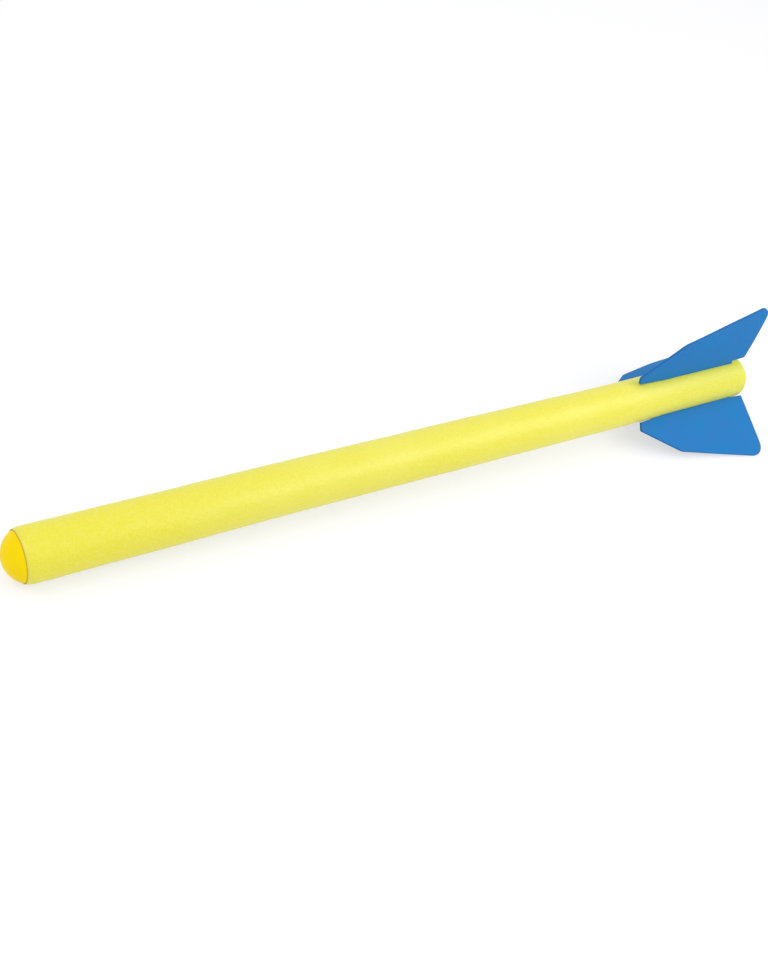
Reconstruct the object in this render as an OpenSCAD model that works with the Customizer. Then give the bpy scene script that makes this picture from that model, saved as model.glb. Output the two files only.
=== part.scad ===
// Foam javelin for throwing practice: a round foam shaft, a domed rubber nose and three swept fins.
// The shaft's axis runs along X with the nose towards -X, and one fin stands straight up along +Z.
// The origin is under the middle of the javelin, level with the tips of its two lower fins.

/* [Foam shaft] */
// Diameter of the round foam shaft
shaft_d = 50; // [50:0.5:56]
// Length of the foam, from its front face to its tail face
shaft_len = 875; // [650:1:950]
// How far behind the front face the slanted front of the foam meets the straight shaft, before it is eased
mouth_taper = 4.5; // [3:0.5:8]
// Width of the narrow face left round the nose cap
mouth_face = 0.4; // [0.2:0.1:1]
// Radius of the rounding round the tail edge of the foam
tail_edge_r = 1; // [0.5:0.5:4]

/* [Nose cap] */
// Diameter of the rubber dome and of the flange behind it
dome_d = 46; // [42:0.5:46]
// Radius of the sphere that the dome is cut from
dome_sphere_r = 26; // [25:0.5:40]
// Depth of the flange, which fills a round seat in the front face
flange_depth = 5; // [3:0.5:10]
// Diameter of the stem between its barbs
stem_d = 14; // [10:0.5:20]
// Length of the stem behind the flange
stem_len = 48; // [45:1:80]
// Number of barbs that hold the stem in the foam
barb_count = 5; // [3:1:5]
// Height of each barb above the stem
barb_height = 2; // [1:0.5:3]
// Distance from one barb to the next
barb_pitch = 8; // [6:0.5:8]

/* [Fins] */
// Thickness of the fin sheet
fin_thickness = 3; // [2:0.5:5]
// Distance from the tail face forward to the front of the fins
fin_root_len = 167; // [150:1:200]
// How far the tip reaches behind the tail face, before its corner is rounded
fin_overhang = 13; // [10:0.5:25]
// Height of the tip above the shaft, before its corner is rounded
tip_height = 79; // [70:0.5:110]
// Height of the short front edge above the shaft
front_height = 11; // [10:0.5:20]
// How far the foot of the front edge lies behind its top
front_slant = 3; // [1:0.5:5]
// Distance from the front of the fin back to the kink in its leading edge
kink_x = 54.5; // [40:0.5:65]
// Height of the kink above the shaft
kink_height = 46.5; // [38:0.5:55]
// Radius of the rounded tip
tip_r = 12; // [4:0.5:14]
// Radius that eases the kink
kink_r = 24; // [5:1:40]
// Radius of the small corners of the fin
corner_r = 2; // [0.5:0.5:3]
// Height of the front lower corner above the shaft
front_lift = 1.7; // [0.5:0.1:4]
// Height above the shaft of the edge behind the tab, where it leaves the tab
tab_lift = 1.5; // [1:0.1:3]
// Height of the rear lower corner above the shaft
rear_lift = 3; // [2:0.1:6]
// How far the tip reaches behind the rear lower corner
rear_slant = 7; // [2:0.5:10]

/* [Fin tabs] */
// Depth of the tab that is glued into its slit in the foam
tab_depth = 13; // [8:0.5:14]
// Distance from the front of the fin back to its tab
tab_front = 33; // [20:1:50]
// Distance from the tail face forward to the tab
tab_rear = 14; // [8:1:30]
// Radius of the tab's two inner corners
tab_corner_r = 4; // [1:0.5:6]

/* [Hidden] */

foam_yellow = [0.93, 0.91, 0.33];
nose_yellow = [0.99, 0.83, 0.03];
fin_blue = [0.20, 0.50, 0.78];

round_fn = 128;
arc_steps = 12;
margin = 1;

shaft_r = shaft_d / 2;
dome_r = dome_d / 2;
stem_r = stem_d / 2;
stem_end = flange_depth + stem_len;
stem_lead = 2;
barb_start = stem_end - barb_count * barb_pitch;
barb_share = 0.7;
barb_len = barb_pitch * barb_share;

// The easing at the front of the foam takes this share of its slanted part.
mouth_share = 0.75;
mouth_rim = dome_r + mouth_face;
mouth_slant = norm([shaft_r - mouth_rim, mouth_taper]);
mouth_turn = atan((shaft_r - mouth_rim) / mouth_taper);
mouth_r = mouth_share * mouth_slant / tan(mouth_turn / 2);
mouth_edge_r = 0.3;

// The dome is the slice of the sphere in front of the foam, so its height follows from its rim.
dome_height = dome_sphere_r - sqrt(dome_sphere_r ^ 2 - dome_r ^ 2);

// Angle from one fin to the next round the shaft.
fin_step = 120;

// Stations along the shaft, from the foam's front face towards the tail.
fin_front = shaft_len - fin_root_len;
fin_back = shaft_len + fin_overhang;
tab_start = fin_front + tab_front;
tab_end = shaft_len - tab_rear;

// Half section of the foam, as [radius, station, corner radius].
shaft_section = [
    [0, 0, 0],
    [mouth_rim, 0, mouth_edge_r],
    [shaft_r, mouth_taper, mouth_r],
    [shaft_r, shaft_len, tail_edge_r],
    [0, shaft_len, 0],
];

// Outline of a fin with its tab, as [station, radius, corner radius].
fin_outline = [
    [tab_start, shaft_r, 0],
    [tab_start, shaft_r - tab_depth, tab_corner_r],
    [tab_end, shaft_r - tab_depth, tab_corner_r],
    [tab_end, shaft_r + tab_lift, corner_r / 2],
    [fin_back - rear_slant, shaft_r + rear_lift, corner_r],
    [fin_back, shaft_r + tip_height, tip_r],
    [fin_front + kink_x, shaft_r + kink_height, kink_r],
    [fin_front, shaft_r + front_height, corner_r],
    [fin_front + front_slant, shaft_r + front_lift, corner_r / 2],
];

// The rounded tip reaches one radius out and back from the centre of its arc.
tip_centre = arc_centre(fin_outline[4], fin_outline[5], fin_outline[6], tip_r);
tip_reach = tip_centre.y + tip_r;
tip_back = tip_centre.x + tip_r;

// The lower edges of the two lower fins' tips touch the ground.
axis_height = tip_reach * cos(fin_step / 2) + fin_thickness / 2 * sin(fin_step / 2);
middle_x = (tip_back - dome_height) / 2;

function unit(v) = v / norm(v);
function xy(p) = [p.x, p.y];

// Half the angle inside corner b, between its neighbours a and c.
function half_angle(a, b, c) = acos(unit(xy(a) - xy(b)) * unit(xy(c) - xy(b))) / 2;

// Centre of the arc of radius r that rounds corner b.
function arc_centre(a, b, c, r) =
    xy(b) + unit(unit(xy(a) - xy(b)) + unit(xy(c) - xy(b))) * r / sin(half_angle(a, b, c));

// The points of the arc that rounds corner b, in the outline's order.
function corner_arc(a, b, c) =
    let (
        r = b.z,
        centre = arc_centre(a, b, c, r),
        setback = r / tan(half_angle(a, b, c)),
        from = xy(b) + unit(xy(a) - xy(b)) * setback - centre,
        to = xy(b) + unit(xy(c) - xy(b)) * setback - centre,
        start = atan2(from.y, from.x),
        sweep = atan2(from.x * to.y - from.y * to.x, from * to)
    )
    [for (i = [0 : arc_steps]) let (t = start + sweep * i / arc_steps) centre + r * [cos(t), sin(t)]];

// An outline whose corners are rounded by the radius that each point has as its third number.
function rounded(points) =
    let (n = len(points))
    [
        for (i = [0 : n - 1])
            let (before = points[(i + n - 1) % n], corner = points[i], after = points[(i + 1) % n])
            each corner.z == 0 ? [xy(corner)] : corner_arc(before, corner, after)
    ];

// Turns a half section, drawn as [radius, station], about the javelin's axis.
module revolved() {
    translate([-middle_x, 0, axis_height])
        rotate([0, 90, 0])
            rotate_extrude($fn = round_fn)
                children();
}

// Makes a sheet in the plane of the fin at this angle from an outline drawn as [station, radius].
module fin_sheet(angle) {
    translate([-middle_x, 0, axis_height])
        rotate([angle + 90, 0, 0])
            linear_extrude(fin_thickness, center = true)
                children();
}

// Half section of what the foam grips: the flange and the barbed stem.
module anchor_section() {
    square([dome_r, flange_depth]);
    square([stem_r, stem_end]);
    for (i = [0 : barb_count - 1])
        translate([0, barb_start + i * barb_pitch])
            polygon([[0, 0], [stem_r + barb_height, 0], [stem_r, barb_len], [0, barb_len]]);
    translate([0, stem_end])
        polygon([[0, 0], [stem_r, 0], [stem_r - stem_lead, stem_lead], [0, stem_lead]]);
}

module dome_section() {
    intersection() {
        translate([0, dome_sphere_r - dome_height])
            circle(dome_sphere_r, $fn = round_fn);
        translate([0, -dome_height - margin])
            square([dome_sphere_r, dome_height + margin]);
    }
}

// The slit fits the tab and runs out through the surface of the foam.
module slit_outline() {
    intersection() {
        polygon(rounded(fin_outline));
        square([shaft_len, shaft_r]);
    }
    translate([tab_start, shaft_r - margin])
        square([tab_end - tab_start, 2 * margin]);
}

module foam_shaft() {
    color(foam_yellow)
        difference() {
            revolved()
                polygon(rounded(shaft_section));
            revolved()
                anchor_section();
            for (angle = [0, fin_step, -fin_step])
                fin_sheet(angle)
                    slit_outline();
        }
}

module nose_cap() {
    color(nose_yellow)
        revolved() {
            anchor_section();
            dome_section();
        }
}

module fin(angle) {
    color(fin_blue)
        fin_sheet(angle)
            polygon(rounded(fin_outline));
}

foam_shaft();
nose_cap();
fin(0);  // fin_top
fin(fin_step);  // fin_left
fin(-fin_step);  // fin_right
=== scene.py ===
import math

import bmesh
import bpy
import numpy as np
from mathutils import Matrix, Vector


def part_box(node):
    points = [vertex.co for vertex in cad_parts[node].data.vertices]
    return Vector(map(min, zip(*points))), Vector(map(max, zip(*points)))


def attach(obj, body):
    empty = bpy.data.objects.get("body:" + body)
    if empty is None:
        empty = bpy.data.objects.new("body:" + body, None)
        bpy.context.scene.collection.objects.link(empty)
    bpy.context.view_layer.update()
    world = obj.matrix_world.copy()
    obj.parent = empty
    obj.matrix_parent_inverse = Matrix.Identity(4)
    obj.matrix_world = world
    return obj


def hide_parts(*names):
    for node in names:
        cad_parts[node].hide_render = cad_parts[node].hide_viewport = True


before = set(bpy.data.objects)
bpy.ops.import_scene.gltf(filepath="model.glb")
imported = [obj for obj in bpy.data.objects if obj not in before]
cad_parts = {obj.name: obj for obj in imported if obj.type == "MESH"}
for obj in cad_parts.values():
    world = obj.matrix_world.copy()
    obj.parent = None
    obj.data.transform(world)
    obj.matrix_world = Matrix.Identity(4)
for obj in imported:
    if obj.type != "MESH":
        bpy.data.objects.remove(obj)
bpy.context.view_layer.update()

# One millimetre in metres. Lengths are in millimetres unless a comment says metres. A station is a
# distance behind the foam's front face, and a radius is measured from the shaft's axis.
MM = 0.001

# The foam shaft's place and size come from the frame.
FOAM_LOW, FOAM_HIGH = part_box("foam_shaft")
FRONT_X = FOAM_LOW.x
AXIS_Z = (FOAM_LOW.z + FOAM_HIGH.z) / 2
SHAFT_R = (FOAM_HIGH.z - FOAM_LOW.z) / 2 / MM
SHAFT_LEN = (FOAM_HIGH.x - FOAM_LOW.x) / MM

# Camera: its place in metres, its turn, downward tilt and roll in degrees, and its optics.
CAMERA_AT = (-0.69380, -0.60621, 0.85461)
CAMERA_TURN = 46.252
CAMERA_DOWN = 43.419
CAMERA_ROLL = -20.942
FOCAL_PX = 1200.0
IMAGE_H = 960
SENSOR_MM = 36.0
CLIP_NEAR, CLIP_FAR = 0.01, 50.0

# Foam shaft. Each corner of its mouth is a radius, a station and a corner radius.
MOUTH = [
    (23.12, 1.9, 0),
    (23.35, 0.0, 0.3),
    (23.6, 0.02, 0.15),
    (25.0, 4.5, 20.0),
    (25.0, 14.0, 0),
]
MOUTH_STEPS, TAIL_STEPS = 10, 6
TAIL_EDGE_R, TAIL_STRETCH = 1.0, 3.0
# Rings of the tail face: the outer and inner radius and their number.
TAIL_RINGS = (22.5, 1.5, 14)
# Distance between the rings along the shaft, and the steps from one slit to the next round it.
ROW_STEP, ARC_COLUMNS = 1.8, 50
# Width and height of the bumps in the foam's skin. They grow over a fade behind the mouth, and keep
# a share of their height on the tail edge.
UNEVEN = [(90.0, 0.13), (28.0, 0.06), (7.0, 0.045), (3.2, 0.03)]
UNEVEN_SEED, UNEVEN_SMOOTH = 40, 5.0
MOUTH_FADE, TAIL_UNEVEN = 6.0, 0.8
# The foam's slow bends: the station, offset and spread of each, and their direction in Y and Z.
SAG = [(300.0, 0.75, 150.0), (650.0, -0.65, 60.0)]
SAG_TOWARDS = (0.72, 0.69)

# Degrees from one fin to the next.
FIN_STEP = 120.0
# Slits for the fins' tabs. Each has four columns of points across, at these shares of its half
# width, and its edges are pinched in.
SLIT_COLUMNS = (-1, -1 / 3, 1 / 3, 1)
SLIT_HALF, SLIT_FLOOR = 1.56, 11.9
SLIT_PINCH, PINCH_WIDTH, PINCH_FADE = 0.35, 1.6, 2.0
WALL_TOLERANCE = 0.01

# Nose cap. The foam's seat keeps this clearance from it.
SEAT_CLEAR = 0.05
DOME_R, SPHERE_R = 23.0, 26.0
FLANGE_DEPTH = 5.0
STEM_R, STEM_END, STEM_LEAD = 7.0, 53.0, 2.0
BARB_COUNT, BARB_PITCH, BARB_LEN, BARB_HEIGHT = 5, 8.0, 5.6, 2.0
# The rim is rounded at this station, and the sphere starts at this share of the rim's angle.
RIM_STATION, RIM_CORNER, RIM_STEPS, RIM_SHARE = 0.15, 0.45, 5, 0.93
DOME_RINGS, CAP_COLUMNS = 30, 160

# Fin sheet: half its thickness, its edge radius, the border inside its edge, and the grid that it
# bends along, with the tolerance of its cuts.
FIN_HALF, FIN_EDGE_R, FIN_BORDER = 1.5, 0.4, 0.45
FIN_GRID, GRID_TOLERANCE = 5.0, 0.02
EDGE_TURNS = (0, 30, 60, 90)
FIN_STEPS = 10
# Outline of the fin and its tab, as stations, radii and corner radii.
FIN_FRONT, FRONT_TOP_R, FRONT_SLANT, FRONT_FOOT_R = 708.0, 36.0, 3.0, 26.7
KINK_BEHIND, KINK_R, KINK_CORNER = 54.5, 71.5, 24.0
TIP_AT, TIP_R, TIP_CORNER = 888.0, 104.0, 12.0
REAR_FOOT_AT, REAR_FOOT_R = 881.0, 28.0
TAB_START, TAB_END, TAB_FLOOR, TAB_CORNER = 741.0, 861.0, 12.0, 4.0
TAB_STEP, LEAST_STEP = 1.5, 0.2
SMALL_CORNER, FOOT_CORNER = 2.0, 1.0
# Each fin's angle about the shaft in degrees, and how it was cut, glued in and bent by hand: the
# tip's lean out of its plane, how much more the front leans, the shift towards the tail, how much
# further the front reaches, the extra heights of the rear foot and the tip, the front foot's bend,
# and the seed of its warp.
FINS = {
    "fin_top": dict(angle=0.0, lean=-5.7, twist=2.0, shift=-1.5,
                    front=3.2, rear=2.1, tip=-1.1, bend=0.0, seed=11),
    "fin_left": dict(angle=FIN_STEP, lean=6.9, twist=4.7, shift=-0.2,
                     front=-0.3, rear=-1.9, tip=0.8, bend=0.0, seed=12),
    "fin_right": dict(angle=-FIN_STEP, lean=6.6, twist=5.7, shift=2.9,
                      front=-1.4, rear=0.0, tip=0.0, bend=-2.1, seed=13),
}
# A fin leans by this power of its height's share of the span, and twists about its middle station.
FIN_SPAN, LEAN_POWER = 79.0, 1.5
FIN_MIDDLE, FIN_HALF_LEN = 800.0, 90.0
# The shift grows over the gap at the foot, and the front foot bends over its length before the tab.
FOOT_GAP, BEND_LEN = 1.5, 33.0
# Height and lengths of the long warp and of the short ripple.
WARP, WARP_LEN = 0.45, 38.0
RIPPLE, RIPPLE_LEN, RIPPLE_RISE = 0.2, 17.0, 23.0

# Edges at least this steep, in degrees, are drawn sharp.
ROUND_SHARP, SHEET_SHARP = 35.0, 50.0

# Colours, linear.
FOAM_YELLOW = (0.845, 0.785, 0.075, 1)
FOAM_PALE = (0.885, 0.845, 0.20, 1)
FOAM_DEEP = (0.82, 0.755, 0.03, 1)
# Painted shade: the darker, deeper yellow that the foam takes towards its nose end.
FOAM_NOSE_SHADE = (0.83, 0.755, 0.002, 1)
FOAM_TAIL_END = (0.71, 0.70, 0.02, 1)
FOAM_LIP = (0.80, 0.70, 0.12, 1)
NOSE_YELLOW = (1.0, 0.74, 0.001, 1)
NOSE_DEEP = (0.97, 0.66, 0.001, 1)
# Painted shade: the dark line round the dome's rim, where it meets the foam.
NOSE_RIM_SHADE = (0.58, 0.42, 0.01, 1)
NOSE_DUST = (0.95, 0.80, 0.20, 1)
FIN_BLUE = (0.011, 0.201, 0.530, 1)
FIN_DEEP = (0.022, 0.186, 0.51, 1)
# Painted shade: the darker blue of the sheets' edge band along the fins' outline; it also darkens
# the pores of their faces.
FIN_EDGE_SHADE_AND_PORE = (0.010, 0.12, 0.36, 1)

# Range of each surface's roughness, and its specular level.
FOAM_ROUGH, FOAM_SPECULAR = (0.34, 0.46), 0.55
NOSE_ROUGH, NOSE_SPECULAR = (0.30, 0.46), 0.08
FIN_ROUGH, FIN_SPECULAR = (0.58, 0.72), 0.12
CUT_ROUGH, CUT_SPECULAR = (0.75, 0.9), 0.2

# Stations that the materials cover. Over the other pairs a colour comes in or fades out, each with
# the share that it reaches: the foam's two end colours, of which the nose end's darker, deeper
# yellow is painted shade, its duller lip and the dome's dark rim, which is painted shade of the
# groove between the dome and the foam.
STATIONS = (-100.0, 1000.0)
NOSE_END, TAIL_END, END_SHARE = (0.0, 260.0), (600.0, 860.0), 0.9
LIP_END, LIP_SHARE, LIP_WANDER = (0.7, 2.0), 0.8, 0.3
RIM_LINE, RIM_LINE_SHARE = (-1.1, -0.2), 0.75
# Shares of the foam's pale speckle, of the dome's deeper patches and of the fins' deeper flecks.
SPECKLE_SHARE, PATCH_SHARE, FLECK_SHARE = 0.55, 0.5, 0.35
# Ranges of a noise that are spread over a whole change of colour or roughness.
NOISE_CORE, NOISE_MOST = (0.35, 0.65), (0.3, 0.7)

# Light and floor, in metres. A softbox has its place, its size and its power in watts.
WORLD_LEVEL = 0.80
SOFTBOXES = [((1.15, -0.75, 1.25), (1.7, 0.9), 10.5), ((-1.10, 0.20, 1.40), (1.0, 1.0), 4.2)]
SOFTBOX_AIM = (0.05, 0.0, 0.05)
BALANCE_BEHIND_FRONT = 0.32
FLOOR_SIZE = 12.0
FLOOR_LIT = (0.85, 0.85, 0.85, 1)
FLOOR_SHADE = (0.42, 0.42, 0.43, 1)
FLOOR_GLOW = (0.60, 0.60, 0.62, 1)
WHITE = (1, 1, 1, 1)


# Shapes

def unit(v):
    return v / np.linalg.norm(v)


def rounded(corners, closed, steps):
    """Polyline through corners given as (a, b, radius), each with an arc of its radius."""
    points = [np.array(c[:2], float) for c in corners]
    out = []
    for i, (p, corner) in enumerate(zip(points, corners)):
        radius = corner[2]
        if radius == 0 or (not closed and i in (0, len(points) - 1)):
            out.append(p)
            continue
        a, b = unit(points[i - 1] - p), unit(points[(i + 1) % len(points)] - p)
        half = math.acos(float(np.clip(a @ b, -1, 1))) / 2
        centre = p + unit(a + b) * radius / math.sin(half)
        start = p + a * radius / math.tan(half) - centre
        stop = p + b * radius / math.tan(half) - centre
        turn = math.atan2(start[1], start[0])
        sweep = math.atan2(start[0] * stop[1] - start[1] * stop[0], start @ stop)
        for k in range(steps + 1):
            t = turn + sweep * k / steps
            out.append(centre + radius * np.array([math.cos(t), math.sin(t)]))
    return np.array(out)


def around(station, radius, angle, side=0.0):
    """World place at this station, radius and angle about the shaft, moved sideways by side."""
    s, c = np.sin(angle), np.cos(angle)
    x = FRONT_X + np.asarray(station, float) * MM
    y = (-side * c - radius * s) * MM
    z = AXIS_Z + (-side * s + radius * c) * MM
    return np.stack(np.broadcast_arrays(x, y, z), -1)


def smooth_field(shape, scale, seed):
    """Smooth random heights of unit spread on a grid that repeats. scale is in grid cells."""
    grid = np.random.default_rng(seed).standard_normal(shape)
    fy = np.fft.fftfreq(shape[0])[:, None] * scale[0]
    fx = np.fft.fftfreq(shape[1])[None, :] * scale[1]
    spectrum = np.fft.fft2(grid) * np.exp(-UNEVEN_SMOOTH * (fy ** 2 + fx ** 2))
    spectrum[0, 0] = 0
    field = np.fft.ifft2(spectrum).real
    return field / field.std()


def ring_quads(first, last, m, skip=frozenset()):
    """Quads from ring first to ring last, with m points in a ring, without those to skip."""
    return [(i * m + j, i * m + (j + 1) % m, (i + 1) * m + (j + 1) % m, (i + 1) * m + j)
            for i in range(first, last) for j in range(m) if (i, j) not in skip]


def end_fan(verts, ring, m, station):
    """Triangles that close a ring. Their point on the axis, at this station, is added to verts."""
    verts.append(around(station, 0.0, 0.0))
    return [(ring * m + j, ring * m + (j + 1) % m, len(verts) - 1) for j in range(m)]


def add_object(name, data):
    obj = bpy.data.objects.new(name, data)
    bpy.context.scene.collection.objects.link(obj)
    return obj


def closed_mesh(name, verts, faces):
    """Mesh of these points and faces, with its normals outwards and no loose points."""
    mesh = bpy.data.meshes.new(name)
    mesh.from_pydata([tuple(map(float, v)) for v in verts], [], faces)
    mesh.validate()
    bm = bmesh.new()
    bm.from_mesh(mesh)
    bmesh.ops.recalc_face_normals(bm, faces=bm.faces)
    bmesh.ops.delete(bm, geom=[v for v in bm.verts if not v.link_faces], context="VERTS")
    bm.to_mesh(mesh)
    bm.free()
    return mesh


def add_piece(name, mesh, materials, sharp_deg):
    """Object of this mesh, shaded smooth between its sharp edges."""
    for material in materials:
        mesh.materials.append(material)
    mesh.shade_smooth()
    mesh.set_sharp_from_angle(angle=math.radians(sharp_deg))
    return add_object(name, mesh)


# Foam shaft

def anchor_rows(grow):
    """Half section of the barbed stem and the flange, from the stem's end to the flange's back."""
    rows = [(0.0, STEM_END + STEM_LEAD + grow),
            (STEM_R - STEM_LEAD + grow, STEM_END + STEM_LEAD + grow),
            (STEM_R + grow, STEM_END + grow)]
    for i in reversed(range(BARB_COUNT)):
        at = STEM_END - (BARB_COUNT - i) * BARB_PITCH
        rows += [(STEM_R + grow, at + BARB_LEN),
                 (STEM_R + BARB_HEIGHT + grow, at + grow),
                 (STEM_R + grow, at - grow)]
    rows += [(STEM_R + grow, FLANGE_DEPTH + grow), (DOME_R + grow, FLANGE_DEPTH + grow)]
    return rows


def shaft_rows():
    """Radius, station and share of unevenness of each ring, from the seat's end to the tail."""
    rows = [(r, s, 0.0) for r, s in anchor_rows(SEAT_CLEAR)]
    mouth = rounded(MOUTH, False, MOUTH_STEPS)[:-1]
    rows += [(r, s, min(1.0, max(0.0, s / MOUTH_FADE))) for r, s in mouth]
    tail_from = SHAFT_LEN - TAIL_STRETCH
    stretches = ((mouth[-1][1], TAB_START), (TAB_START, TAB_END), (TAB_END, tail_from))
    for a, b in stretches:
        n = max(1, round((b - a) / ROW_STEP))
        rows += [(SHAFT_R, a + (b - a) * k / n, 1.0) for k in range(1, n + 1)]
    tail = [(SHAFT_R, tail_from, 0), (SHAFT_R, SHAFT_LEN, TAIL_EDGE_R), (0.0, SHAFT_LEN, 0)]
    rows += [(r, s, TAIL_UNEVEN) for r, s in rounded(tail, False, TAIL_STEPS)[1:-1]]
    rows += [(r, SHAFT_LEN, 0.0) for r in np.linspace(*TAIL_RINGS)]
    return np.array(rows)


def shaft_columns():
    """Angle of each column round the shaft, and its distance from the nearest slit's middle."""
    half = math.degrees(math.asin(SLIT_HALF / SHAFT_R))
    angles = []
    for k in range(len(FINS)):
        angles += [FIN_STEP * k + half * t for t in SLIT_COLUMNS]
        between = np.linspace(FIN_STEP * k + half, FIN_STEP * (k + 1) - half, ARC_COLUMNS + 1)
        angles += list(between[1:-1])
    angles = np.array(angles)
    off = (angles + FIN_STEP / 2) % FIN_STEP - FIN_STEP / 2
    return np.radians(angles), np.abs(np.radians(off)) * SHAFT_R


def sagged(places, station):
    """These places moved aside by the foam's slow bends at their station."""
    sag = sum(offset * np.exp(-((station - at) / spread) ** 2) for at, offset, spread in SAG)
    return places + np.stack([0 * sag, sag * SAG_TOWARDS[0] * MM, sag * SAG_TOWARDS[1] * MM], -1)


def slit_floor(station):
    """Radius of a slit's floor, which is rounded at both ends as the tab is."""
    d = np.clip(np.minimum(station - TAB_START, TAB_END - station), 0, TAB_CORNER)
    return SLIT_FLOOR + TAB_CORNER - np.sqrt(TAB_CORNER ** 2 - (TAB_CORNER - d) ** 2)


def uneven_heights(rows, columns):
    """How far each point of the foam stands out of its round form."""
    n = int(SHAFT_LEN / ROW_STEP)
    across = 2 * math.pi * SHAFT_R / columns
    total = np.zeros((n, columns))
    for i, (size, height) in enumerate(UNEVEN):
        scale = (size / ROW_STEP / 2, size / across / 2)
        total += height * smooth_field((n, columns), scale, UNEVEN_SEED + i)
    at = np.clip(rows[:, 1] / SHAFT_LEN * (n - 1), 0, n - 1)
    low = np.floor(at).astype(int)
    high = np.minimum(low + 1, n - 1)
    part = (at - low)[:, None]
    return (total[low] * (1 - part) + total[high] * part) * rows[:, 2:3]


def shaft_radii(rows, off_slit):
    """Radius of every point of the foam, uneven and pinched in beside the slits."""
    station, share = rows[:, 1:2], rows[:, 2:3]
    beside = (np.clip((station - TAB_START + PINCH_FADE) / PINCH_FADE, 0, 1)
              * np.clip((TAB_END + PINCH_FADE - station) / PINCH_FADE, 0, 1))
    pinch = beside * np.exp(-((off_slit[None, :] - SLIT_HALF) / PINCH_WIDTH) ** 2) * share
    uneven = uneven_heights(rows, len(off_slit))
    return rows[:, :1] + uneven * (1 - pinch) - SLIT_PINCH * pinch


def wall_row(rows, station):
    """Index of the ring of the shaft's outer wall at this station."""
    inside = rows[:, 0] < SHAFT_R - WALL_TOLERANCE
    return int(np.argmin(np.where(inside, np.inf, np.abs(rows[:, 1] - station))))


def slit_walls(verts, rows, angles, columns, first, last):
    """Faces of the sides, ends and floor of one slit, whose floor's points are added to verts."""
    m, across = len(angles), len(columns)
    centre = (angles[columns[1]] + angles[columns[2]]) / 2
    base = len(verts)
    for i in range(first, last + 1):
        station = rows[i, 1]
        for t in SLIT_COLUMNS:
            place = around(station, slit_floor(station), centre, -t * SLIT_HALF)
            verts.append(sagged(place, station))
    faces = []
    for i in range(first, last):
        a = base + (i - first) * across
        b = a + across
        faces += [(a + t, a + t + 1, b + t + 1, b + t) for t in range(across - 1)]
        for t in (0, across - 1):
            faces.append((i * m + columns[t], (i + 1) * m + columns[t], b + t, a + t))
    for i in (first, last):
        a = base + (i - first) * across
        faces += [(i * m + columns[t], i * m + columns[t + 1], a + t + 1, a + t)
                  for t in range(across - 1)]
    return faces


def build_shaft(material):
    rows = shaft_rows()
    angles, off_slit = shaft_columns()
    n, m = len(rows), len(angles)
    station = rows[:, 1:2]
    places = around(station, shaft_radii(rows, off_slit), angles[None, :])
    verts = list(sagged(places, station).reshape(-1, 3))
    first, last = wall_row(rows, TAB_START), wall_row(rows, TAB_END)
    third = m // len(FINS)
    slits = [[third * k + t for t in range(len(SLIT_COLUMNS))] for k in range(len(FINS))]
    opening = {(i, j) for slit in slits for j in slit[:-1] for i in range(first, last)}
    faces = ring_quads(1, n - 1, m, opening)
    faces += end_fan(verts, 1, m, rows[0, 1])
    faces += end_fan(verts, n - 1, m, SHAFT_LEN)
    for slit in slits:
        faces += slit_walls(verts, rows, angles, slit, first, last)
    mesh = closed_mesh("shaft_foam", verts, faces)
    return add_piece("shaft_foam", mesh, [material], ROUND_SHARP)


# Nose cap

def cap_rows():
    """Radius and station of each ring of the nose cap, from the stem's end to the dome's pole."""
    height = SPHERE_R - math.sqrt(SPHERE_R ** 2 - DOME_R ** 2)
    dome_from = math.asin(DOME_R / SPHERE_R) * RIM_SHARE

    def on_dome(t):
        return SPHERE_R * math.sin(t), SPHERE_R - height - SPHERE_R * math.cos(t)

    rim = [(DOME_R, FLANGE_DEPTH, 0), (DOME_R, RIM_STATION, RIM_CORNER), (*on_dome(dome_from), 0)]
    rows = anchor_rows(0.0)
    rows += [tuple(p) for p in rounded(rim, False, RIM_STEPS)[1:]]
    rows += [on_dome(t) for t in np.linspace(dome_from, 0, DOME_RINGS)[1:-1]]
    rows.append((0.0, -height))
    return np.array(rows)


def build_cap(material):
    rows = cap_rows()
    body = rows[1:-1]
    last, m = len(body) - 1, CAP_COLUMNS
    angles = np.linspace(0, 2 * math.pi, m, endpoint=False)
    verts = list(around(body[:, 1:2], body[:, :1], angles[None, :]).reshape(-1, 3))
    faces = ring_quads(0, last, m)
    faces += end_fan(verts, 0, m, rows[0, 1])
    faces += end_fan(verts, last, m, rows[-1, 1])
    mesh = closed_mesh("nose_dome", verts, faces)
    return add_piece("nose_dome", mesh, [material], ROUND_SHARP)


# Fins

def inset(points, by):
    """A closed polyline moved inwards by this much."""
    following = np.roll(points, -1, 0)
    edge = following - points
    edge /= np.linalg.norm(edge, axis=1)[:, None]
    area = np.sum(points[:, 0] * following[:, 1] - following[:, 0] * points[:, 1])
    normal = np.stack([-edge[:, 1], edge[:, 0]], 1) * math.copysign(1, area)
    before = np.roll(normal, 1, 0)
    return points + by * (normal + before) / (1 + (normal * before).sum(1))[:, None]


def fin_rings():
    """The rings from one face of the sheet round its edge to the other, as (inset, height)."""
    turn = [math.radians(a) for a in EDGE_TURNS]
    half = [(FIN_EDGE_R + FIN_BORDER, FIN_HALF)]
    half += [(FIN_EDGE_R * (1 - math.sin(t)), FIN_HALF - FIN_EDGE_R * (1 - math.cos(t)))
             for t in turn]
    return half + [(a, -b) for a, b in reversed(half)]


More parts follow.
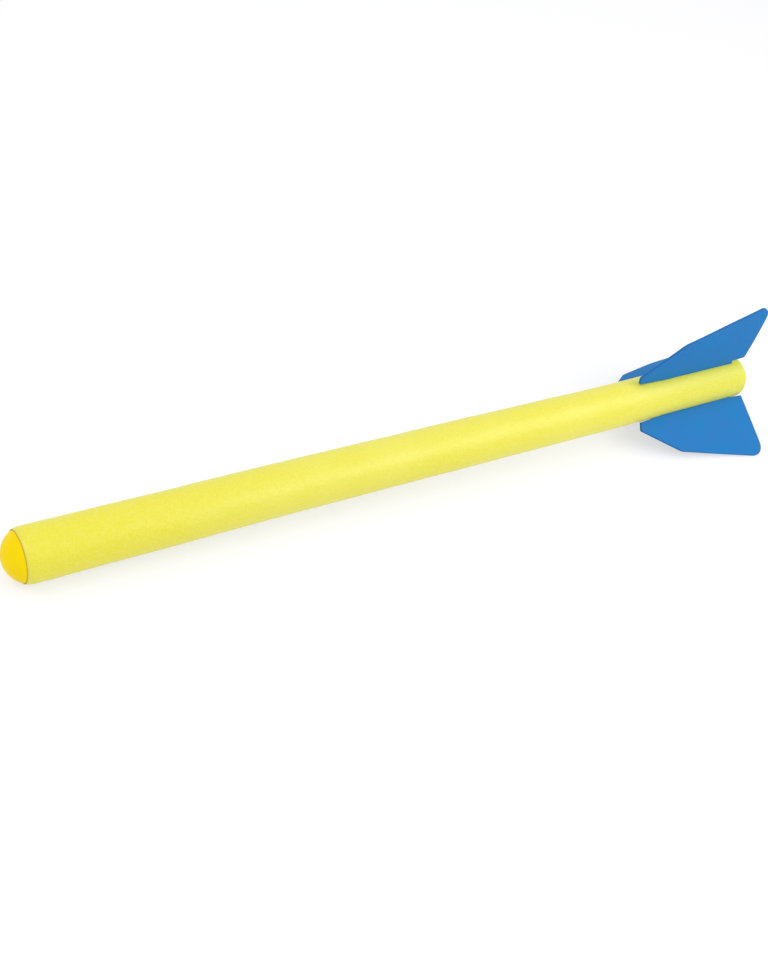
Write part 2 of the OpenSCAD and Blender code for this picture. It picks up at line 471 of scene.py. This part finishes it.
def fin_outline(cut):
    """The sheet's outline with its tab, as station, radius and corner radius."""
    front = FIN_FRONT - cut["front"]
    rear_foot = REAR_FOOT_R + cut["rear"]
    behind_tab = max(rear_foot - TAB_STEP, SHAFT_R + LEAST_STEP)
    return [
        (TAB_START, SHAFT_R, 0),
        (TAB_START, TAB_FLOOR, TAB_CORNER),
        (TAB_END, TAB_FLOOR, TAB_CORNER),
        (TAB_END, behind_tab, FOOT_CORNER),
        (REAR_FOOT_AT, rear_foot, SMALL_CORNER),
        (TIP_AT, TIP_R + cut["tip"], TIP_CORNER),
        (front + KINK_BEHIND, KINK_R, KINK_CORNER),
        (front, FRONT_TOP_R, SMALL_CORNER),
        (front + FRONT_SLANT, FRONT_FOOT_R, FOOT_CORNER),
    ]


def flat_fin(cut):
    """The sheet before it bends, with x as the station, y as the radius and z as the thickness."""
    outline = rounded(fin_outline(cut), True, FIN_STEPS)
    m = len(outline)
    bm = bmesh.new()
    loops = [[bm.verts.new((p[0], p[1], height)) for p in inset(outline, by)]
             for by, height in fin_rings()]
    # The cut edge is the middle band and the one to each side of it.
    middle = len(loops) // 2 - 1
    edge_bands = range(middle - 1, middle + 2)
    for k, (a, b) in enumerate(zip(loops, loops[1:])):
        for j in range(m):
            face = bm.faces.new((a[j], a[(j + 1) % m], b[(j + 1) % m], b[j]))
            face.material_index = int(k in edge_bands)
    caps = [bm.faces.new(loops[0]), bm.faces.new(list(reversed(loops[-1])))]
    bm.normal_update()
    bmesh.ops.triangulate(bm, faces=caps)
    low, high = outline.min(0), outline.max(0)
    for axis in (0, 1):
        for at in np.arange(low[axis] + FIN_GRID / 2, high[axis], FIN_GRID):
            where, normal = Vector((0, 0, 0)), Vector((0, 0, 0))
            where[axis], normal[axis] = at, 1
            bmesh.ops.bisect_plane(bm, geom=bm.verts[:] + bm.edges[:] + bm.faces[:],
                                   plane_co=where, plane_no=normal, dist=GRID_TOLERANCE)
    bmesh.ops.recalc_face_normals(bm, faces=bm.faces)
    return bm


def bent_places(flat, cut):
    """World places of the flat sheet's points once the fin is glued in and bent by hand."""
    phase = np.random.default_rng(cut["seed"]).uniform(0, 2 * math.pi, 2)
    radius = flat[:, 1]
    above = radius - SHAFT_R
    station = flat[:, 0] + cut["shift"] * np.clip(above / FOOT_GAP, 0, 1)
    out = np.clip(above / FIN_SPAN, 0, None)
    lean = cut["lean"] + cut["twist"] * (FIN_MIDDLE - station) / FIN_HALF_LEN
    side = flat[:, 2] + lean * out ** LEAN_POWER
    side += cut["bend"] * np.clip((TAB_START - station) / BEND_LEN, 0, 1)
    side += (WARP * out * np.sin(station / WARP_LEN + phase[0])
             + RIPPLE * out * np.sin(station / RIPPLE_LEN + radius / RIPPLE_RISE + phase[1]))
    return around(station, radius, math.radians(cut["angle"]), side)


def build_fin(node, materials):
    name = node + "_sheet"
    bm = flat_fin(FINS[node])
    flat = np.array([v.co for v in bm.verts])
    for v, place in zip(bm.verts, bent_places(flat, FINS[node])):
        v.co = place
    mesh = bpy.data.meshes.new(name)
    bm.to_mesh(mesh)
    bm.free()
    return add_piece(name, mesh, materials, SHEET_SHARP)


# Materials

class Nodes:
    """A new material's nodes, wired by short calls."""

    def __init__(self, name):
        self.material = bpy.data.materials.new(name)
        self.material.use_nodes = True
        self.tree = self.material.node_tree
        self.shader = self.tree.nodes["Principled BSDF"]
        self.place = self.new("ShaderNodeTexCoord").outputs["Object"]

    def new(self, kind, **values):
        node = self.tree.nodes.new(kind)
        for key, value in values.items():
            setattr(node, key, value)
        return node

    def link(self, source, target):
        self.tree.links.new(source, target)

    def feed(self, value, socket):
        """Links an output to the socket, or sets the socket to a plain value."""
        if hasattr(value, "links"):
            self.link(value, socket)
        else:
            socket.default_value = value

    def noise(self, size_mm, detail, rough=0.5, stretch=None):
        node = self.new("ShaderNodeTexNoise")
        node.inputs["Scale"].default_value = 1 / (size_mm * MM)
        node.inputs["Detail"].default_value = detail
        node.inputs["Roughness"].default_value = rough
        place = self.place
        if stretch:
            mapping = self.new("ShaderNodeMapping")
            mapping.inputs["Scale"].default_value = stretch
            self.link(place, mapping.inputs["Vector"])
            place = mapping.outputs["Vector"]
        self.link(place, node.inputs["Vector"])
        return node.outputs["Fac"]

    def cells(self, size_mm, feature="SMOOTH_F1"):
        node = self.new("ShaderNodeTexVoronoi", feature=feature)
        node.inputs["Scale"].default_value = 1 / (size_mm * MM)
        self.link(self.place, node.inputs["Vector"])
        return node.outputs["Distance"]

    def span(self, value, low, high, to_low=0.0, to_high=1.0, smooth=False):
        """The value from low to high, mapped to the range from to_low to to_high."""
        node = self.new("ShaderNodeMapRange",
                        interpolation_type="SMOOTHSTEP" if smooth else "LINEAR")
        ends = (("From Min", low), ("From Max", high), ("To Min", to_low), ("To Max", to_high))
        for key, end in ends:
            node.inputs[key].default_value = end
        self.link(value, node.inputs["Value"])
        return node.outputs["Result"]

    def mix(self, share, a, b):
        """Colour a, with this share of colour b."""
        node = self.new("ShaderNodeMix", data_type="RGBA")
        for index, value in ((0, share), (6, a), (7, b)):
            self.feed(value, node.inputs[index])
        return node.outputs[2]

    def math(self, operation, a, b):
        node = self.new("ShaderNodeMath", operation=operation)
        self.feed(a, node.inputs[0])
        self.feed(b, node.inputs[1])
        return node.outputs[0]

    def bump(self, height, depth_mm, strength=1.0, under=None):
        node = self.new("ShaderNodeBump")
        node.inputs["Distance"].default_value = depth_mm * MM
        node.inputs["Strength"].default_value = strength
        self.link(height, node.inputs["Height"])
        if under is not None:
            self.link(under, node.inputs["Normal"])
        return node.outputs["Normal"]

    def finish(self, colour, rough, normal, specular):
        self.link(colour, self.shader.inputs["Base Color"])
        self.link(rough, self.shader.inputs["Roughness"])
        self.link(normal, self.shader.inputs["Normal"])
        self.shader.inputs["Specular IOR Level"].default_value = specular
        return self.material


def station_of(n):
    """The station of the shaded point."""
    split = n.new("ShaderNodeSeparateXYZ")
    n.link(n.place, split.inputs[0])
    low, high = (FRONT_X + station * MM for station in STATIONS)
    return n.span(split.outputs["X"], low, high, *STATIONS)


def foam_material():
    n = Nodes("foam_yellow")
    station = station_of(n)
    broad = n.span(n.noise(size_mm=45, detail=2, stretch=(0.5, 1, 1)), *NOISE_CORE)
    speckle = n.span(n.noise(size_mm=1.7, detail=4, rough=0.6), low=0.38, high=0.66)
    pebble = n.cells(size_mm=1.7)
    colour = n.mix(broad, FOAM_DEEP, FOAM_YELLOW)
    # Painted shade: the foam turns darker and a deeper yellow over its nose end.
    nose_shade = n.span(station, *NOSE_END, to_low=END_SHARE, to_high=0.0, smooth=True)
    colour = n.mix(nose_shade, colour, FOAM_NOSE_SHADE)
    tail_end = n.span(station, *TAIL_END, to_low=0.0, to_high=END_SHARE, smooth=True)
    colour = n.mix(tail_end, colour, FOAM_TAIL_END)
    colour = n.mix(n.math("MULTIPLY", speckle, SPECKLE_SHARE), colour, FOAM_PALE)
    between = n.span(pebble, low=0.25, high=0.75, to_high=0.2)
    colour = n.mix(between, colour, FOAM_DEEP)
    wander = n.span(n.noise(size_mm=6, detail=2), *NOISE_MOST, -LIP_WANDER, LIP_WANDER)
    lip = n.span(n.math("ADD", station, wander), *LIP_END, to_low=1.0, to_high=0.0, smooth=True)
    colour = n.mix(n.math("MULTIPLY", lip, LIP_SHARE), colour, FOAM_LIP)
    rough = n.span(n.noise(size_mm=5, detail=3), *NOISE_MOST, *FOAM_ROUGH)
    normal = n.bump(n.noise(size_mm=0.9, detail=3, rough=0.6), depth_mm=0.04)
    normal = n.bump(pebble, depth_mm=0.16, strength=0.8, under=normal)
    normal = n.bump(n.noise(size_mm=4.5, detail=3), depth_mm=0.14, strength=0.8, under=normal)
    return n.finish(colour, rough, normal, FOAM_SPECULAR)


def nose_material():
    n = Nodes("nose_rubber")
    broad = n.span(n.noise(size_mm=14, detail=3), *NOISE_CORE)
    colour = n.mix(n.math("MULTIPLY", broad, PATCH_SHARE), NOSE_YELLOW, NOSE_DEEP)
    dust = n.span(n.noise(size_mm=1.4, detail=4, rough=0.7), low=0.62, high=0.80, to_high=0.15)
    colour = n.mix(dust, colour, NOSE_DUST)
    # Painted shade: the dome darkens to a dark line at its rim, in the groove where it meets the
    # foam.
    rim = n.span(station_of(n), *RIM_LINE, to_low=0.0, to_high=RIM_LINE_SHARE, smooth=True)
    colour = n.mix(rim, colour, NOSE_RIM_SHADE)
    rough = n.span(n.noise(size_mm=7, detail=4, rough=0.6), *NOISE_MOST, *NOSE_ROUGH)
    normal = n.bump(n.noise(size_mm=0.6, detail=3, rough=0.6), depth_mm=0.02)
    normal = n.bump(n.noise(size_mm=5, detail=2), depth_mm=0.08, strength=0.7, under=normal)
    return n.finish(colour, rough, normal, NOSE_SPECULAR)


def fin_material():
    n = Nodes("fin_blue")
    broad = n.span(n.noise(size_mm=22, detail=3), *NOISE_CORE)
    colour = n.mix(broad, FIN_DEEP, FIN_BLUE)
    fleck = n.span(n.noise(size_mm=1.8, detail=4, rough=0.65), low=0.35, high=0.70)
    colour = n.mix(n.math("MULTIPLY", fleck, FLECK_SHARE), colour, FIN_DEEP)
    pore = n.span(n.cells(size_mm=0.9, feature="F1"), low=0.0, high=0.30, to_low=0.25, to_high=0.0)
    colour = n.mix(pore, colour, FIN_EDGE_SHADE_AND_PORE)
    rough = n.span(n.noise(size_mm=3, detail=3), *NOISE_MOST, *FIN_ROUGH)
    normal = n.bump(n.noise(size_mm=0.5, detail=3, rough=0.6), depth_mm=0.03)
    normal = n.bump(n.cells(size_mm=0.9), depth_mm=0.05, strength=0.7, under=normal)
    normal = n.bump(n.noise(size_mm=9, detail=2), depth_mm=0.12, strength=0.6, under=normal)
    return n.finish(colour, rough, normal, FIN_SPECULAR)


# Painted shade: the sheets' edge band is coloured darker than their faces, along the fins' outline.
def edge_shade_material():
    n = Nodes("fin_edge_shade")
    grain = n.span(n.noise(size_mm=0.8, detail=3, rough=0.7), *NOISE_MOST)
    colour = n.mix(grain, FIN_EDGE_SHADE_AND_PORE, FIN_DEEP)
    rough = n.span(grain, 0, 1, *CUT_ROUGH)
    normal = n.bump(n.cells(size_mm=0.7), depth_mm=0.12, strength=0.9)
    return n.finish(colour, rough, normal, CUT_SPECULAR)


# Stage

def seen_as_backdrop(tree):
    """1 for rays that show the background: from the camera, in a gloss or through glass."""
    path = tree.nodes.new("ShaderNodeLightPath")
    total = path.outputs["Is Camera Ray"]
    for key in ("Is Glossy Ray", "Is Transmission Ray"):
        node = tree.nodes.new("ShaderNodeMath")
        node.operation = "MAXIMUM"
        tree.links.new(total, node.inputs[0])
        tree.links.new(path.outputs[key], node.inputs[1])
        total = node.outputs[0]
    return total


def shade_backdrop(tree, lit, seen, output):
    """Shows one shader where the backdrop is seen, and lights the object by the other."""
    mix = tree.nodes.new("ShaderNodeMixShader")
    tree.links.new(seen_as_backdrop(tree), mix.inputs[0])
    tree.links.new(lit.outputs[0], mix.inputs[1])
    tree.links.new(seen.outputs[0], mix.inputs[2])
    tree.links.new(mix.outputs[0], tree.nodes[output].inputs["Surface"])


def build_world():
    world = bpy.data.worlds.new("studio")
    world.use_nodes = True
    tree = world.node_tree
    lit = tree.nodes["Background"]
    lit.inputs["Color"].default_value = WHITE
    lit.inputs["Strength"].default_value = WORLD_LEVEL
    seen = tree.nodes.new("ShaderNodeBackground")
    seen.inputs["Color"].default_value = WHITE
    shade_backdrop(tree, lit, seen, "World Output")
    bpy.context.scene.world = world


def build_softbox(place, size, watts):
    data = bpy.data.lights.new("softbox", "AREA")
    data.shape = "RECTANGLE"
    data.size, data.size_y = size
    data.energy = watts
    lamp = add_object("softbox", data)
    lamp.location = place
    aim = Vector(place) - Vector(SOFTBOX_AIM)
    lamp.rotation_euler = aim.to_track_quat("Z", "Y").to_euler()


def resting_plane(pieces):
    """Height at x = 0 and slope of the floor: the lower hull's edge under the balance point."""
    points = np.concatenate([np.array([v.co for v in p.data.vertices]) for p in pieces])
    points = points[:, [0, 2]]
    points = points[points[:, 1] < AXIS_Z]
    points = points[np.lexsort((points[:, 1], points[:, 0]))]
    hull = []
    for p in points:
        while len(hull) > 1 and np.cross(hull[-1] - hull[-2], p - hull[-2]) <= 0:
            hull.pop()
        hull.append(p)
    balance = FRONT_X + BALANCE_BEHIND_FRONT
    a, b = next((a, b) for a, b in zip(hull, hull[1:]) if a[0] <= balance <= b[0])
    slope = (b[1] - a[1]) / (b[0] - a[0])
    return a[1] - slope * a[0], slope


def floor_material():
    material = bpy.data.materials.new("floor_white")
    material.use_nodes = True
    tree = material.node_tree
    tree.nodes.remove(tree.nodes["Principled BSDF"])
    lit = tree.nodes.new("ShaderNodeBsdfDiffuse")
    lit.inputs["Color"].default_value = FLOOR_LIT
    shaded = tree.nodes.new("ShaderNodeBsdfDiffuse")
    shaded.inputs["Color"].default_value = FLOOR_SHADE
    glow = tree.nodes.new("ShaderNodeEmission")
    glow.inputs["Color"].default_value = FLOOR_GLOW
    seen = tree.nodes.new("ShaderNodeAddShader")
    tree.links.new(shaded.outputs[0], seen.inputs[0])
    tree.links.new(glow.outputs[0], seen.inputs[1])
    shade_backdrop(tree, lit, seen, "Material Output")
    return material


def build_floor(pieces):
    height, slope = resting_plane(pieces)
    half = FLOOR_SIZE / 2
    corners = [(x, y, height + slope * x)
               for x, y in ((-half, -half), (half, -half), (half, half), (-half, half))]
    mesh = bpy.data.meshes.new("floor")
    mesh.from_pydata(corners, [], [(0, 1, 2, 3)])
    mesh.materials.append(floor_material())
    floor = add_object("floor", mesh)


def build_camera():
    data = bpy.data.cameras.new("camera")
    data.sensor_width = SENSOR_MM
    data.lens = FOCAL_PX * SENSOR_MM / IMAGE_H
    data.clip_start, data.clip_end = CLIP_NEAR, CLIP_FAR
    camera = add_object("camera", data)
    turn = Matrix.Rotation(math.radians(-CAMERA_TURN), 3, "Z")
    tilt = Matrix.Rotation(math.radians(90 - CAMERA_DOWN), 3, "X")
    roll = Matrix.Rotation(math.radians(-CAMERA_ROLL), 3, "Z")
    camera.rotation_euler = (turn @ tilt @ roll).to_euler()
    camera.location = CAMERA_AT
    bpy.context.scene.camera = camera


def dress(obj, node):
    """Lets the object ride the body in place of this node."""
    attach(obj, "root")
    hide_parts(node)


def main():
    bpy.context.scene.view_settings.view_transform = "Standard"
    build_camera()
    shaft = build_shaft(foam_material())
    dress(shaft, "foam_shaft")
    cap = build_cap(nose_material())
    dress(cap, "nose_cap")
    sheets = (fin_material(), edge_shade_material())
    fins = []
    for node in FINS:
        fin = build_fin(node, sheets)
        dress(fin, node)
        fins.append(fin)
    build_world()
    for softbox in SOFTBOXES:
        build_softbox(*softbox)
    build_floor([shaft, cap, *fins])


main()
